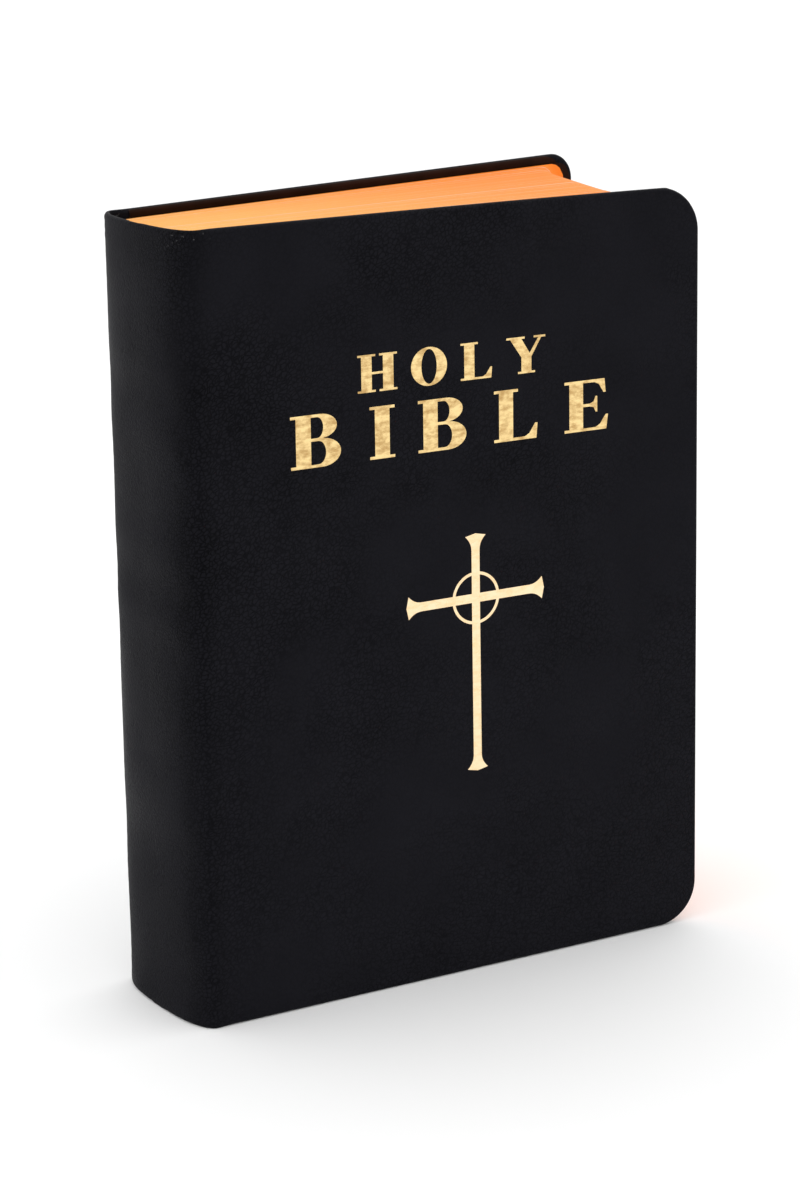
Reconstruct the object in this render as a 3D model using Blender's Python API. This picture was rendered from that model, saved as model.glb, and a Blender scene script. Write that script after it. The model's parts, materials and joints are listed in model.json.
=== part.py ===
"""A thick, round-cornered bible in a limp leatherette cover, standing upright on its tail.

Metres, +Z up. The spine faces -X, the fore-edge +X, the front cover -Y. The book is 0 to HEIGHT in Z, and
the origin is under the middle of its box. Shapes are worked out in plan from the spine's outermost line,
and BOX_SHIFT then centres them. A side is FRONT (-1) or BACK (+1), the sign of its Y.
"""

import math

import bmesh
import bpy
from mathutils import Matrix, Vector

# Driving dimensions
HEIGHT = 0.210
WIDTH = 0.1556  # from the spine's outermost line to the covers' fore-edge
SPINE_THICKNESS = 0.045  # over both covers, where they meet the spine
FLARE = math.radians(3.0)  # each cover leans out by this much towards the fore-edge
SPINE_ROUND = 0.0064  # how far the spine stands out past the covers' spine edges
SPINE_POWER = 2.5  # superellipse power of the spine's outline in plan
COVER_CORNER = 0.012  # radius of the covers' fore-edge corners
SQUARE = 0.0017  # how far the covers reach past the pages at head and tail
FORE_SQUARE = 0.0018  # the same at the fore-edge
SECTIONS_PER_HALF = 12
SECTION_SLICES = 3  # a section's rounded ends are this many straight steps
SECTION_SPLIT = 0.00012  # clear space between two sections
PAGE_CORNER = 0.0100

# The cover's layers, as depths in from its outer face
LEATHER = 0.0008
BOARD = 0.0012
TURN_IN = 0.0005  # leather pared thin and folded over the board's edge
PASTEDOWN = 0.00025
FLYLEAF = 0.0002
CLEAR = 0.0001
BOARD_DEPTH = LEATHER + CLEAR
TURN_IN_DEPTH = BOARD_DEPTH + BOARD + CLEAR
PASTEDOWN_DEPTH = TURN_IN_DEPTH + TURN_IN + CLEAR
FLYLEAF_DEPTH = PASTEDOWN_DEPTH + PASTEDOWN + 0.00025
BLOCK_DEPTH = FLYLEAF_DEPTH + FLYLEAF + 0.00015
TURN_IN_WIDTH = 0.014
PASTEDOWN_MARGIN = 0.0045
HINGE_ALONG = 0.0020  # hinge line, measured along the cover from its spine edge
HINGE_SPLIT = 0.0002  # half the clear space at the hinge line
BOARD_START = 0.0055
SPINE_SPLIT = 0.0001  # half the clear space where the spine's two halves meet

# The spine's layers, as distances from its outermost line
INLAY = 0.0004
INLAY_INSET = LEATHER + CLEAR
INLAY_REACH = 0.0150  # half the inlay's width
LINING = 0.0003
THREAD = 0.00034
THREAD_STATIONS = 5
THREAD_POINTS = 13  # of the outline's points, where the row of stitches ends
THREAD_END = 0.0245  # from the pages' head or tail to the nearest station
BLOCK_INSET = 0.00245
THREAD_INSET = 0.0003  # from the sections' folds out to the threads' middle
LINING_INSET = 0.0006  # from the sections' folds out to the lining
BLOCK_ROUND = 0.0110  # how far the middle folds stand out past the outer ones
BLOCK_POWER = 3.5  # superellipse power of the folds' outline in plan
LINING_REACH = 0.0178  # half the lining's width

CORNER_STEPS = 8
SPINE_STEPS = 18

FRONT, BACK = -1, 1
SIDE_NAME = {FRONT: "front", BACK: "back"}
HALF_BLOCK = SPINE_THICKNESS / 2 - BLOCK_DEPTH
COVER_LENGTH = WIDTH - SPINE_ROUND
COVER_DEPTH = TURN_IN_DEPTH + TURN_IN
BOX_LENGTH = SPINE_ROUND + COVER_LENGTH * math.cos(FLARE) + COVER_DEPTH * math.sin(FLARE)
BOX_SHIFT = Matrix.Translation((-BOX_LENGTH / 2, 0, 0))
PAGE_START = BLOCK_INSET + BLOCK_ROUND - SPINE_ROUND  # of the outermost leaf, along the cover
PAGE_WIDTH = COVER_LENGTH - FORE_SQUARE - PAGE_START
PAGE_TAIL, PAGE_HEAD = SQUARE, HEIGHT - SQUARE


def clear_scene():
    for obj in list(bpy.data.objects):
        bpy.data.objects.remove(obj)


def new_collection(name, helper=False):
    collection = bpy.data.collections.new(name)
    bpy.context.scene.collection.children.link(collection)
    collection.hide_render = helper
    return collection


def material(name, colour, roughness, metallic=0.0):
    made = bpy.data.materials.new(name)
    made.use_nodes = True
    shader = made.node_tree.nodes["Principled BSDF"]
    shader.inputs["Base Color"].default_value = (*colour, 1.0)
    shader.inputs["Roughness"].default_value = roughness
    shader.inputs["Metallic"].default_value = metallic
    made.diffuse_color = (*colour, 1.0)
    return made


def ellipse_rise(share, power):
    """How far a superellipse has fallen back at this share (0 to 1) of its half-width, as a share of its depth."""
    return 1 - (1 - min(abs(share), 1) ** power) ** (1 / power)


def spine_outline(side, inset, reach, depth, power=SPINE_POWER):
    """Points in plan from the middle of the spine to one side, all on one superellipse."""
    points = []
    first = math.asin(SPINE_SPLIT / reach)
    for step in range(SPINE_STEPS + 1):
        angle = first + (math.pi / 2 - first) * step / SPINE_STEPS
        across = math.sin(angle)
        points.append(Vector((inset + depth * ellipse_rise(across, power), side * reach * across)))
    return points


def along(side):
    """The direction in plan in which a cover runs from the spine."""
    return Vector((math.cos(FLARE), side * math.sin(FLARE)))


def outward(side):
    return Vector((-math.sin(FLARE), side * math.cos(FLARE)))


def cover_point(side, distance, depth=0.0):
    """A point in plan on a cover: this far along it from its spine edge, this deep in from its outer face."""
    edge = Vector((SPINE_ROUND, side * SPINE_THICKNESS / 2))
    return edge + distance * along(side) - depth * outward(side)


def rounded_outline(start, end, low, high, radius):
    """An upright rectangle from start to end, with its two corners at end rounded."""
    points = [Vector((start, low))]
    for centre_z, first in ((low + radius, -math.pi / 2), (high - radius, 0.0)):
        for step in range(CORNER_STEPS + 1):
            angle = first + math.pi / 2 * step / CORNER_STEPS
            points.append(Vector((end - radius + radius * math.cos(angle), centre_z + radius * math.sin(angle))))
    points.append(Vector((start, high)))
    return points


def extruded(name, outline, thickness, collection):
    """A mesh object: the outline filled in its own XY plane, thickness deep, half of it to each side."""
    curve = bpy.data.curves.new(name, "CURVE")
    curve.dimensions = "2D"
    curve.fill_mode = "BOTH"
    curve.extrude = thickness / 2
    spline = curve.splines.new("POLY")
    spline.points.add(len(outline) - 1)
    for point, place in zip(spline.points, outline):
        point.co = (*place, 0, 1)
    spline.use_cyclic_u = True
    return meshed(curve, name, collection)


def meshed(curve, name, collection):
    """The curve as a welded mesh object in the collection."""
    guide = bpy.data.objects.new(name + "_guide", curve)
    bpy.context.scene.collection.objects.link(guide)
    mesh = bpy.data.meshes.new_from_object(guide.evaluated_get(bpy.context.evaluated_depsgraph_get()))
    bpy.data.objects.remove(guide)
    welded = bmesh.new()
    welded.from_mesh(mesh)
    bmesh.ops.remove_doubles(welded, verts=welded.verts, dist=1e-6)
    bmesh.ops.recalc_face_normals(welded, faces=welded.faces)
    welded.to_mesh(mesh)
    welded.free()
    mesh.name = name
    obj = bpy.data.objects.new(name, mesh)
    collection.objects.link(obj)
    return obj


def cover_matrix(side, depth):
    """Stands an outline up on a cover: its X runs along the cover, its Y up, and its plane is this deep."""
    run = along(side).to_3d()
    up = Vector((0, 0, 1))
    place = cover_point(side, 0, depth).to_3d()
    turn = Matrix((run, up, run.cross(up))).transposed().to_4x4()
    return BOX_SHIFT @ Matrix.Translation(place) @ turn


def cover_slab(name, side, outline, depth, thickness, collection):
    obj = extruded(name, outline, thickness, collection)
    obj.matrix_world = cover_matrix(side, depth + thickness / 2)
    return obj


def finish_piece(obj, joint, look):
    """Gives the piece its material and hangs it on its joint's empty, where it is."""
    obj.data.materials.clear()
    obj.data.materials.append(look)
    place = obj.matrix_world.copy()
    obj.parent = joint
    obj.matrix_parent_inverse = joint.matrix_world.inverted()
    obj.matrix_world = place
    return obj


def joint_empty(name, plan_point, parent=None):
    empty = bpy.data.objects.new(name, None)
    empty.empty_display_type = "SINGLE_ARROW"
    empty.empty_display_size = HEIGHT
    bpy.context.scene.collection.objects.link(empty)
    empty.matrix_world = BOX_SHIFT @ Matrix.Translation(plan_point.to_3d())
    bpy.context.view_layer.update()
    if parent:
        place = empty.matrix_world.copy()
        empty.parent = parent
        empty.matrix_parent_inverse = parent.matrix_world.inverted()
        empty.matrix_world = place
    bpy.context.view_layer.update()
    return empty


def cut(obj, cutter):
    cutter.display_type = "WIRE"
    cutter.hide_render = True
    boolean = obj.modifiers.new("cut_" + cutter.name, "BOOLEAN")
    boolean.operation = "DIFFERENCE"
    boolean.solver = "EXACT"
    boolean.object = cutter


def cover_leather(side, parts, cutters):
    """The cover's leatherette: one sheet folded over the board at head, fore-edge and tail."""
    name = SIDE_NAME[side] + "_cover_leather"
    outline = rounded_outline(HINGE_ALONG + HINGE_SPLIT, COVER_LENGTH, 0, HEIGHT, COVER_CORNER)
    leather = cover_slab(name, side, outline, 0, COVER_DEPTH, parts)
    beyond = HINGE_ALONG - 0.002
    pocket = rounded_outline(
        beyond, COVER_LENGTH - LEATHER, LEATHER, HEIGHT - LEATHER, COVER_CORNER - LEATHER
    )
    window = rounded_outline(
        beyond, COVER_LENGTH - TURN_IN_WIDTH, TURN_IN_WIDTH, HEIGHT - TURN_IN_WIDTH, 0.001
    )
    cut(leather, cover_slab(name + "_pocket", side, pocket, LEATHER, TURN_IN_DEPTH - LEATHER, cutters))
    cut(leather, cover_slab(name + "_window", side, window, TURN_IN_DEPTH - CLEAR, TURN_IN + 0.001, cutters))
    return leather


def cover_board(side, parts):
    edge = LEATHER + CLEAR
    outline = rounded_outline(BOARD_START, COVER_LENGTH - edge, edge, HEIGHT - edge, COVER_CORNER - edge)
    return cover_slab(SIDE_NAME[side] + "_board", side, outline, BOARD_DEPTH, BOARD, parts)


def pastedown(side, parts):
    outline = rounded_outline(
        HINGE_ALONG + 0.001,
        COVER_LENGTH - PASTEDOWN_MARGIN,
        PASTEDOWN_MARGIN,
        HEIGHT - PASTEDOWN_MARGIN,
        COVER_CORNER - PASTEDOWN_MARGIN,
    )
    return cover_slab(SIDE_NAME[side] + "_pastedown", side, outline, PASTEDOWN_DEPTH, PASTEDOWN, parts)


def flyleaf(side, parts):
    outline = rounded_outline(PAGE_START, PAGE_START + PAGE_WIDTH, PAGE_TAIL, PAGE_HEAD, PAGE_CORNER)
    return cover_slab(SIDE_NAME[side] + "_flyleaf", side, outline, FLYLEAF_DEPTH, FLYLEAF, parts)


def spine_strip(name, outer, inner, parts):
    """An upright strip as high as the book, between two lines of points in plan."""
    strip = extruded(name, outer + inner[::-1], HEIGHT, parts)
    strip.matrix_world = BOX_SHIFT @ Matrix.Translation((0, 0, HEIGHT / 2))
    return strip


def spine_leather(side, parts):
    """Half of the leatherette round the spine, from its middle to the cover's hinge line."""
    outer = spine_outline(side, 0, SPINE_THICKNESS / 2, SPINE_ROUND)
    inner = spine_outline(side, LEATHER, SPINE_THICKNESS / 2 - LEATHER, SPINE_ROUND - LEATHER)
    outer.append(cover_point(side, HINGE_ALONG - HINGE_SPLIT))
    inner.append(cover_point(side, HINGE_ALONG - HINGE_SPLIT, LEATHER))
    return spine_strip(f"spine_leather_{SIDE_NAME[side]}_half", outer, inner, parts)


def spine_inlay(side, parts):
    """Half of the card strip that stiffens the spine's leatherette."""
    lines = []
    for inset in (INLAY_INSET, INLAY_INSET + INLAY):
        whole = spine_outline(side, inset, SPINE_THICKNESS / 2 - inset, SPINE_ROUND - LEATHER)
        lines.append([point for point in whole if abs(point.y) <= INLAY_REACH])
    strip = spine_strip(f"spine_inlay_{SIDE_NAME[side]}_half", *lines, parts)
    strip.data.transform(Matrix.Scale(1 - 2 * LEATHER / HEIGHT, 4, (0, 0, 1)))
    return strip


def spine_lining(side, parts):
    """Half of the cloth and paper lining glued over the sections' folds."""
    lines = []
    for inset in (LINING_INSET + LINING, LINING_INSET):
        whole = spine_outline(side, BLOCK_INSET - inset, HALF_BLOCK + inset, BLOCK_ROUND, BLOCK_POWER)
        lines.append([point for point in whole if abs(point.y) <= LINING_REACH])
    strip = spine_strip(f"spine_lining_{SIDE_NAME[side]}_half", *lines, parts)
    strip.data.transform(Matrix.Scale((PAGE_HEAD - PAGE_TAIL) / HEIGHT, 4, (0, 0, 1)))
    return strip


def sewing_thread(side, station, parts):
    """One row of link stitches across the folds of a half's sections."""
    curve = bpy.data.curves.new("stitch_row", "CURVE")
    curve.dimensions = "3D"
    curve.bevel_depth = THREAD / 2
    curve.bevel_resolution = 2
    curve.use_fill_caps = True
    inset = BLOCK_INSET - THREAD_INSET
    line = spine_outline(side, inset, HALF_BLOCK + THREAD_INSET, BLOCK_ROUND, BLOCK_POWER)[1:THREAD_POINTS]
    run = PAGE_HEAD - PAGE_TAIL - 2 * THREAD_END
    z = PAGE_TAIL + THREAD_END + run * station / (THREAD_STATIONS - 1)
    spline = curve.splines.new("POLY")
    spline.points.add(len(line) - 1)
    for point, place in zip(spline.points, line):
        point.co = (*place, z, 1)
    thread = meshed(curve, f"sewing_thread_{SIDE_NAME[side]}_{station + 1}", parts)
    thread.matrix_world = BOX_SHIFT
    return thread


def leaf_loop(share):
    """The outline in space of the leaf at this share (-1 to 1) of the block's half-thickness."""
    start = Vector((BLOCK_INSET + BLOCK_ROUND * ellipse_rise(share, BLOCK_POWER), share * HALF_BLOCK))
    run = Vector((math.cos(FLARE * share), math.sin(FLARE * share)))
    outline = rounded_outline(0, PAGE_WIDTH, PAGE_TAIL, PAGE_HEAD, PAGE_CORNER)
    return [Vector((*(start + run * point.x), point.y)) for point in outline]


def section(number, parts):
    """A sewn section of folded leaves: a loft through some of its leaves, which aren't parallel."""
    thickness = 1 / SECTIONS_PER_HALF
    split = SECTION_SPLIT / 2 / HALF_BLOCK
    first = number * thickness - 1 + split
    step = (thickness - 2 * split) / SECTION_SLICES
    loft = bmesh.new()
    loops = []
    for slice_number in range(SECTION_SLICES + 1):
        loops.append([loft.verts.new(point) for point in leaf_loop(first + slice_number * step)])
    loft.faces.new(loops[0])
    loft.faces.new(loops[-1])
    for loop, next_loop in zip(loops, loops[1:]):
        for index in range(len(loop)):
            following = (index + 1) % len(loop)
            loft.faces.new((loop[index], loop[following], next_loop[following], next_loop[index]))
    bmesh.ops.recalc_face_normals(loft, faces=loft.faces)
    name = f"section_{number + 1:02d}"
    mesh = bpy.data.meshes.new(name)
    loft.to_mesh(mesh)
    loft.free()
    made = bpy.data.objects.new(name, mesh)
    parts.objects.link(made)
    made.matrix_world = BOX_SHIFT
    return made


def build():
    clear_scene()
    parts = new_collection("bible")
    cutters = new_collection("cutters", helper=True)
    leather = material("black_leatherette", (0.012, 0.012, 0.014), 0.42)
    card = material("grey_card", (0.28, 0.26, 0.23), 0.85)
    lining_paper = material("dark_brown_lining", (0.022, 0.014, 0.011), 0.3)
    pages = material("gilded_page_edge", (0.87, 0.46, 0.17), 0.5)
    cloth = material("spine_cloth", (0.68, 0.66, 0.60), 0.9)
    thread = material("linen_thread", (0.80, 0.78, 0.72), 0.8)

    book = joint_empty("back_half_body", Vector((0, 0)))
    opening = joint_empty("spine_opening", Vector((0, 0)), book)
    half_joint = {FRONT: opening, BACK: book}
    for side in (FRONT, BACK):
        name = SIDE_NAME[side]
        hinge = joint_empty(name + "_cover_hinge", cover_point(side, HINGE_ALONG), half_joint[side])
        fold = cover_point(side, PAGE_START, FLYLEAF_DEPTH + FLYLEAF / 2)
        turn = joint_empty(name + "_flyleaf_turn", fold, half_joint[side])
        finish_piece(cover_leather(side, parts, cutters), hinge, leather)
        finish_piece(cover_board(side, parts), hinge, card)
        finish_piece(pastedown(side, parts), hinge, lining_paper)
        finish_piece(flyleaf(side, parts), turn, lining_paper)
        finish_piece(spine_leather(side, parts), half_joint[side], leather)
        finish_piece(spine_inlay(side, parts), half_joint[side], card)
        finish_piece(spine_lining(side, parts), half_joint[side], cloth)
        for station in range(THREAD_STATIONS):
            finish_piece(sewing_thread(side, station, parts), half_joint[side], thread)
    for number in range(2 * SECTIONS_PER_HALF):
        side = FRONT if number < SECTIONS_PER_HALF else BACK
        finish_piece(section(number, parts), half_joint[side], pages)


build()
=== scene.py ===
"""The looks of a thick bible in a limp black leatherette cover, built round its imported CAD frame.

Metres, in the frame's own axes: +Z up, the spine faces -X and the front cover -Y. The cover is one sheet
of leatherette wrapped round the book. A place on it is a run and a z: the run is the distance from the
middle of the spine, negative towards the front cover and positive towards the back cover. Depth is measured
in from its outer face. A side is FRONT (-1) or BACK (+1), the sign of its Y.
"""

import json
import math

import bmesh
import bpy
import numpy as np
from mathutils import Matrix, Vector


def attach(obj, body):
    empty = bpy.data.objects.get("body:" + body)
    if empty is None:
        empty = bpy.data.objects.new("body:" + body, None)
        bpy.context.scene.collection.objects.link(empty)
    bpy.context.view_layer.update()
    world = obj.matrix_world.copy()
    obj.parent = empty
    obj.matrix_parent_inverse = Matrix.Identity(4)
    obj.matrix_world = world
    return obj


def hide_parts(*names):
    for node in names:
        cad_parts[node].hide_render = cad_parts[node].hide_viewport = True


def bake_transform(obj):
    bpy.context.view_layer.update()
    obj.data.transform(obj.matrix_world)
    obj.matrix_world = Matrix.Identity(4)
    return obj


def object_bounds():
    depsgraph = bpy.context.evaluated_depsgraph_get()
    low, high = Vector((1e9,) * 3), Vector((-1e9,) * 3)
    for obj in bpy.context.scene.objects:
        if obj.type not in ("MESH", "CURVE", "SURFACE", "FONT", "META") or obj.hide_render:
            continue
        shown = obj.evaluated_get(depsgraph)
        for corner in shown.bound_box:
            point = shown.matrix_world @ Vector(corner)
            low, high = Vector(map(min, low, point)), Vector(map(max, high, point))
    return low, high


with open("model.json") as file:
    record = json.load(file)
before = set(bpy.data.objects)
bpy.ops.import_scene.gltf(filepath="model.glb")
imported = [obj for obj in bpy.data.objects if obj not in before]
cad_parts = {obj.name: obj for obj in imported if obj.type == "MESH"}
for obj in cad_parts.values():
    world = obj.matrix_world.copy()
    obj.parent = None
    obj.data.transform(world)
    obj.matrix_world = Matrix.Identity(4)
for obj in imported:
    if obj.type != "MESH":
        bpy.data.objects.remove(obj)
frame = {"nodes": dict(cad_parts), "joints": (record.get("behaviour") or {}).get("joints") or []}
cad_low, cad_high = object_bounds()

# The book's dimensions; those that the frame gives are worked out from its box and joints
FRONT, BACK = -1, 1
SIDE_NAME = {FRONT: "front", BACK: "back"}
FLARE = math.radians(3.0)  # each cover leans out by this much
HINGE_ALONG = 0.0020  # the cover's hinge line, from its spine edge
SPINE_POWER = 2.5  # superellipse power of the spine's outline
CORNER = {FRONT: 0.0120, BACK: 0.0072}  # radius of each cover's corners, 12 mm on both in the CAD
SMALLEST_CORNER = 0.0010  # least radius of the turn-in's inner rows
MID_CORNER = 0.23  # the way to mid-corner is this share of the radius shorter than the side
COVER_DEPTH = 0.0027  # leather, board and turn-in
HEIGHT = cad_high.z - cad_low.z
SPINE_X = cad_low.x
joint_place = {joint["name"]: Vector(joint["pos_m"]) for joint in frame["joints"]}
hinge_place = joint_place["back_cover_hinge"]
SPINE_ROUND = hinge_place.x - SPINE_X - HINGE_ALONG * math.cos(FLARE)
SPINE_HALF = hinge_place.y - HINGE_ALONG * math.sin(FLARE)
COVER_LENGTH = (cad_high.x - cad_low.x - SPINE_ROUND - COVER_DEPTH * math.sin(FLARE)) / math.cos(FLARE)

# The leatherette sheet
LEATHER = 0.0008  # thickness of one layer
EDGE_ROUND = 0.0011  # how far in from the edge the leather starts to fold over
FOLD_STEPS = 10
TURN_IN_WIDTH = 0.014  # how far the folded-over leather reaches in
TURN_IN = 0.0005  # thickness of the inner layer on the covers
SPINE_FOLD_DEPTH = 0.0015  # over both layers, where the leather folds over the spine's inlay
SPINE_TURN_IN = 0.0002  # thickness of the inner layer on the spine
BEND_TURN_IN = 0.00008  # and where that bends
BEND_THINNING = 0.0006  # the fold is this much thinner at the middle of the spine, which bends
ONTO_COVER = (-0.001, 0.0045)  # the fold thickens between these places, from the cover's spine edge
SEAM = 0.0040  # the spine's piece meets each cover's piece this far short of the cover's spine edge
BEND = 0.0020  # half the width of the strip of spine that bends as the book opens

# The leather's unevenness: how far each kind stands out or sinks in
COVER_WAVE = 0.00013
SPINE_RIPPLE = 0.00034
JOINT_DIP = 0.00036
WRINKLE = 0.00020
SLACK = 0.00005

# The pages
SECTIONS_PER_HALF = 12
SECTION_SPLIT = 0.00003  # half the gap between two sections
LEAVES_PER_SECTION = 14  # steps of each section's edge
BLOCK_INSET = 0.00245  # from the spine's face to the pages' folds
BLOCK_ROUND = 0.0110  # how far the folds fall back from the middle to the sides
BLOCK_POWER = 3.5  # superellipse power of that line
BLOCK_DEPTH = 0.00365  # from the cover's face to the first page
HALF_BLOCK = SPINE_HALF - BLOCK_DEPTH
PAGE_CORNER = {FRONT: 0.0100, BACK: 0.0045}  # the leaves between go evenly from one to the other
SQUARE = 0.0022  # how far the cover stands past the pages at head and tail, 1.7 mm in the CAD
FORE_SQUARE = 0.0018  # and at the fore-edge
PAGE_START = BLOCK_INSET + BLOCK_ROUND - SPINE_ROUND
PAGE_WIDTH = COVER_LENGTH - FORE_SQUARE - PAGE_START
PAGE_TAIL, PAGE_HEAD = SQUARE, HEIGHT - SQUARE
HEAD_LIFT = 0.0028  # the back's upper fore-edge corner rises by this much
HEAD_DROP = 0.0007  # the front's upper fore-edge corner sinks by this much
TAIL_REACH = 0.0024  # the front's lower fore-edge corner reaches this much further than its upper one

# The foil
FOIL_PROUD = 0.00004
FOIL_DEPTH = 0.00012
FOIL_PITCH = 0.003  # the foil is cut this finely, so that it follows the leather
WELD = 1e-7  # points of the foil this close are one


# --- Shapes: the sheet ----------------------------------------------------------------------------


def smooth(value, start, end):
    """0 before start, 1 after end, and an even curve between them."""
    share = np.clip((value - start) / (end - start), 0, 1)
    return share * share * (3 - 2 * share)


def ellipse_rise(share, power):
    """How far a superellipse has fallen back at this share of its half-width, as a share of its depth."""
    return 1 - (1 - np.minimum(np.abs(share), 1) ** power) ** (1 / power)


def spine_curve():
    """Half of the spine's outer line: arc length from its middle, and the x and y there."""
    across = np.sin(np.linspace(0, math.pi / 2, 721))
    x, y = SPINE_ROUND * ellipse_rise(across, SPINE_POWER), SPINE_HALF * across
    steps = np.hypot(np.diff(x), np.diff(y))
    return np.concatenate([[0], np.cumsum(steps)]), x, y


ARC, ARC_X, ARC_Y = spine_curve()
SPINE_ARC = ARC[-1]
COVER_END = SPINE_ARC + COVER_LENGTH
SEAM_RUN = SPINE_ARC - SEAM


def outer_line(run):
    """Plan positions of the sheet's outer line at each run."""
    distance = np.abs(run)
    beyond = np.maximum(distance - SPINE_ARC, 0)
    x = SPINE_X + np.interp(distance, ARC, ARC_X) + beyond * math.cos(FLARE)
    y = np.interp(distance, ARC, ARC_Y) + beyond * math.sin(FLARE)
    return np.stack([x, np.sign(run) * y], -1)


def outward(run):
    """Directions in plan that point out of the book, eased a little round the shoulders."""
    ease = 0.0008
    step = outer_line(run + ease) - outer_line(run - ease)
    step /= np.linalg.norm(step, axis=-1, keepdims=True)
    return np.stack([-step[..., 1], step[..., 0]], -1)


def lift(points):
    """The book's limp shape: its points raised towards the back's upper fore-edge corner, let down at the
    front's, and drawn out along the cover's lean towards the front's lower one."""
    along = np.clip((points[..., 0] - SPINE_X - SPINE_ROUND) / COVER_LENGTH, 0, 1)
    half = SPINE_HALF + COVER_LENGTH * math.sin(FLARE) * along
    across = np.clip(points[..., 1] / half / 2 + 0.5, 0, 1)
    height = points[..., 2] / HEIGHT
    lifted = points.copy()
    reach = TAIL_REACH * along * (1 - across) * (1 - height)
    lean = FLARE * (2 * across - 1)
    lifted[..., 0] += reach * np.cos(lean)
    lifted[..., 1] += reach * np.sin(lean)
    lifted[..., 2] += (HEAD_LIFT * along * across - HEAD_DROP * along**4 * (1 - across)) * height**2
    return lifted


def place(run, z, depth):
    """Points in space at each run, z and depth."""
    run, z, depth = np.broadcast_arrays(run, z, depth)
    plan = outer_line(run) - depth[..., None] * outward(run)
    return lift(np.concatenate([plan, z[..., None]], -1))


def swell(run, z):
    """How far the leather stands out from its plain outer face: slow waves, the joint and its wrinkles."""
    along = np.abs(run) - SPINE_ARC
    waves = (
        np.sin(41 * run + 23 * z + 0.7) + np.sin(57 * z - 29 * run + 2.1) + np.sin(67 * run - 38 * z + 4.2)
    ) / 3
    cover_wave = COVER_WAVE * waves * smooth(along, 0.004, 0.03)
    slow = z / 0.031 + 0.35 * np.sin(z / 0.021) + 0.2 * np.sin(z / 0.0094 + 1)
    spine_ripple = SPINE_RIPPLE * np.sin(2 * math.pi * slow) * (1 - smooth(along, -0.012, -0.002))
    inside_ends = smooth(z, 0.0005, 0.010) * (1 - smooth(z, HEIGHT - 0.010, HEIGHT - 0.0005))
    joint = -JOINT_DIP * (0.15 + 0.85 * inside_ends) * np.exp(-(((along - 0.0036) / 0.0024) ** 2))
    crumple = np.sin(2 * math.pi * z / 0.0024 + 2.2 * np.sin(run / 0.0016) + 1.3)
    near_head = np.exp(-(((HEIGHT - 0.0035 - z) / 0.0042) ** 2))
    wrinkles = WRINKLE * crumple * near_head * np.exp(-(((along + 0.0005) / 0.0038) ** 2))
    slack = SLACK * np.sin(2 * math.pi * z / 0.0047 + run / 0.004) * np.exp(-((along / 0.005) ** 2))
    return cover_wave + spine_ripple + joint + wrinkles + slack


def cover_and_bend(run):
    """Shares that are 1 on the covers, and 1 in the strip of spine that bends."""
    on_cover = smooth(np.abs(run) - SPINE_ARC, *ONTO_COVER)
    return on_cover, 1 - smooth(np.abs(run), BEND, 2 * BEND)


def fold_depth(run):
    """Thickness over both layers of leather where it folds over at the head and tail."""
    on_cover, in_bend = cover_and_bend(run)
    return SPINE_FOLD_DEPTH + (COVER_DEPTH - SPINE_FOLD_DEPTH) * on_cover - BEND_THINNING * in_bend


def turn_in(run):
    """Thickness of the inner layer alone."""
    on_cover, in_bend = cover_and_bend(run)
    return SPINE_TURN_IN + (TURN_IN - SPINE_TURN_IN) * on_cover - (SPINE_TURN_IN - BEND_TURN_IN) * in_bend


def pleats(run, z):
    """The gathers of the turn-in round the covers' corners, as a depth to take off."""
    corner = np.where(run < 0, CORNER[FRONT], CORNER[BACK])
    dx = np.abs(run) - (COVER_END - corner)
    dz = np.maximum(corner - z, z - (HEIGHT - corner))
    radius = np.hypot(dx, dz) / corner
    inside = smooth(dx, -0.001, 0.002) * smooth(dz, -0.001, 0.002)
    window = inside * smooth(radius, 0.25, 0.5) * (1 - smooth(radius, 0.85, 0.97))
    return 0.00013 * window * (1 + np.sin(26 * np.arctan2(dz, dx)))


def edge_loops():
    """The leather's way round an edge and back underneath, as insets with the depth at each run and z."""
    loops = []
    for step in range(1, FOLD_STEPS + 1):
        angle = math.pi * step / FOLD_STEPS
        share = (1 - math.cos(angle)) / 2
        inset = EDGE_ROUND * (1 - math.sin(angle))
        loops.append((inset, lambda run, z, share=share: share * fold_depth(run)))
    for inset in (0.0018, 0.0026, 0.0034, 0.0044, 0.0060, 0.0090, TURN_IN_WIDTH):
        loops.append((inset, lambda run, z: fold_depth(run) - pleats(run, z)))
    for inset in (TURN_IN_WIDTH, LEATHER):
        loops.append((inset, lambda run, z: fold_depth(run) - turn_in(run)))
    return loops


EDGE_LOOPS = edge_loops()


# --- Shapes: meshes -------------------------------------------------------------------------------


def new_piece(name, points, faces, sharp_angle=40):
    """A mesh object from points and faces, with its faces turned outwards and shaded smooth."""
    mesh = bpy.data.meshes.new(name)
    mesh.from_pydata([tuple(point) for point in points], [], faces)
    turned = bmesh.new()
    turned.from_mesh(mesh)
    bmesh.ops.recalc_face_normals(turned, faces=turned.faces)
    turned.to_mesh(mesh)
    turned.free()
    mesh.shade_smooth()
    mesh.set_sharp_from_angle(angle=math.radians(sharp_angle))
    piece = bpy.data.objects.new(name, mesh)
    bpy.context.scene.collection.objects.link(piece)
    return piece


def grid_faces(index, closed=False):
    """Quads over a grid of vertex numbers, and across its last and first columns when it is closed."""
    if closed:
        index = np.concatenate([index, index[:, :1]], 1)
    corners = [index[:-1, :-1], index[:-1, 1:], index[1:, 1:], index[1:, :-1]]
    return np.stack(corners, -1).reshape(-1, 4).tolist()


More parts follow.
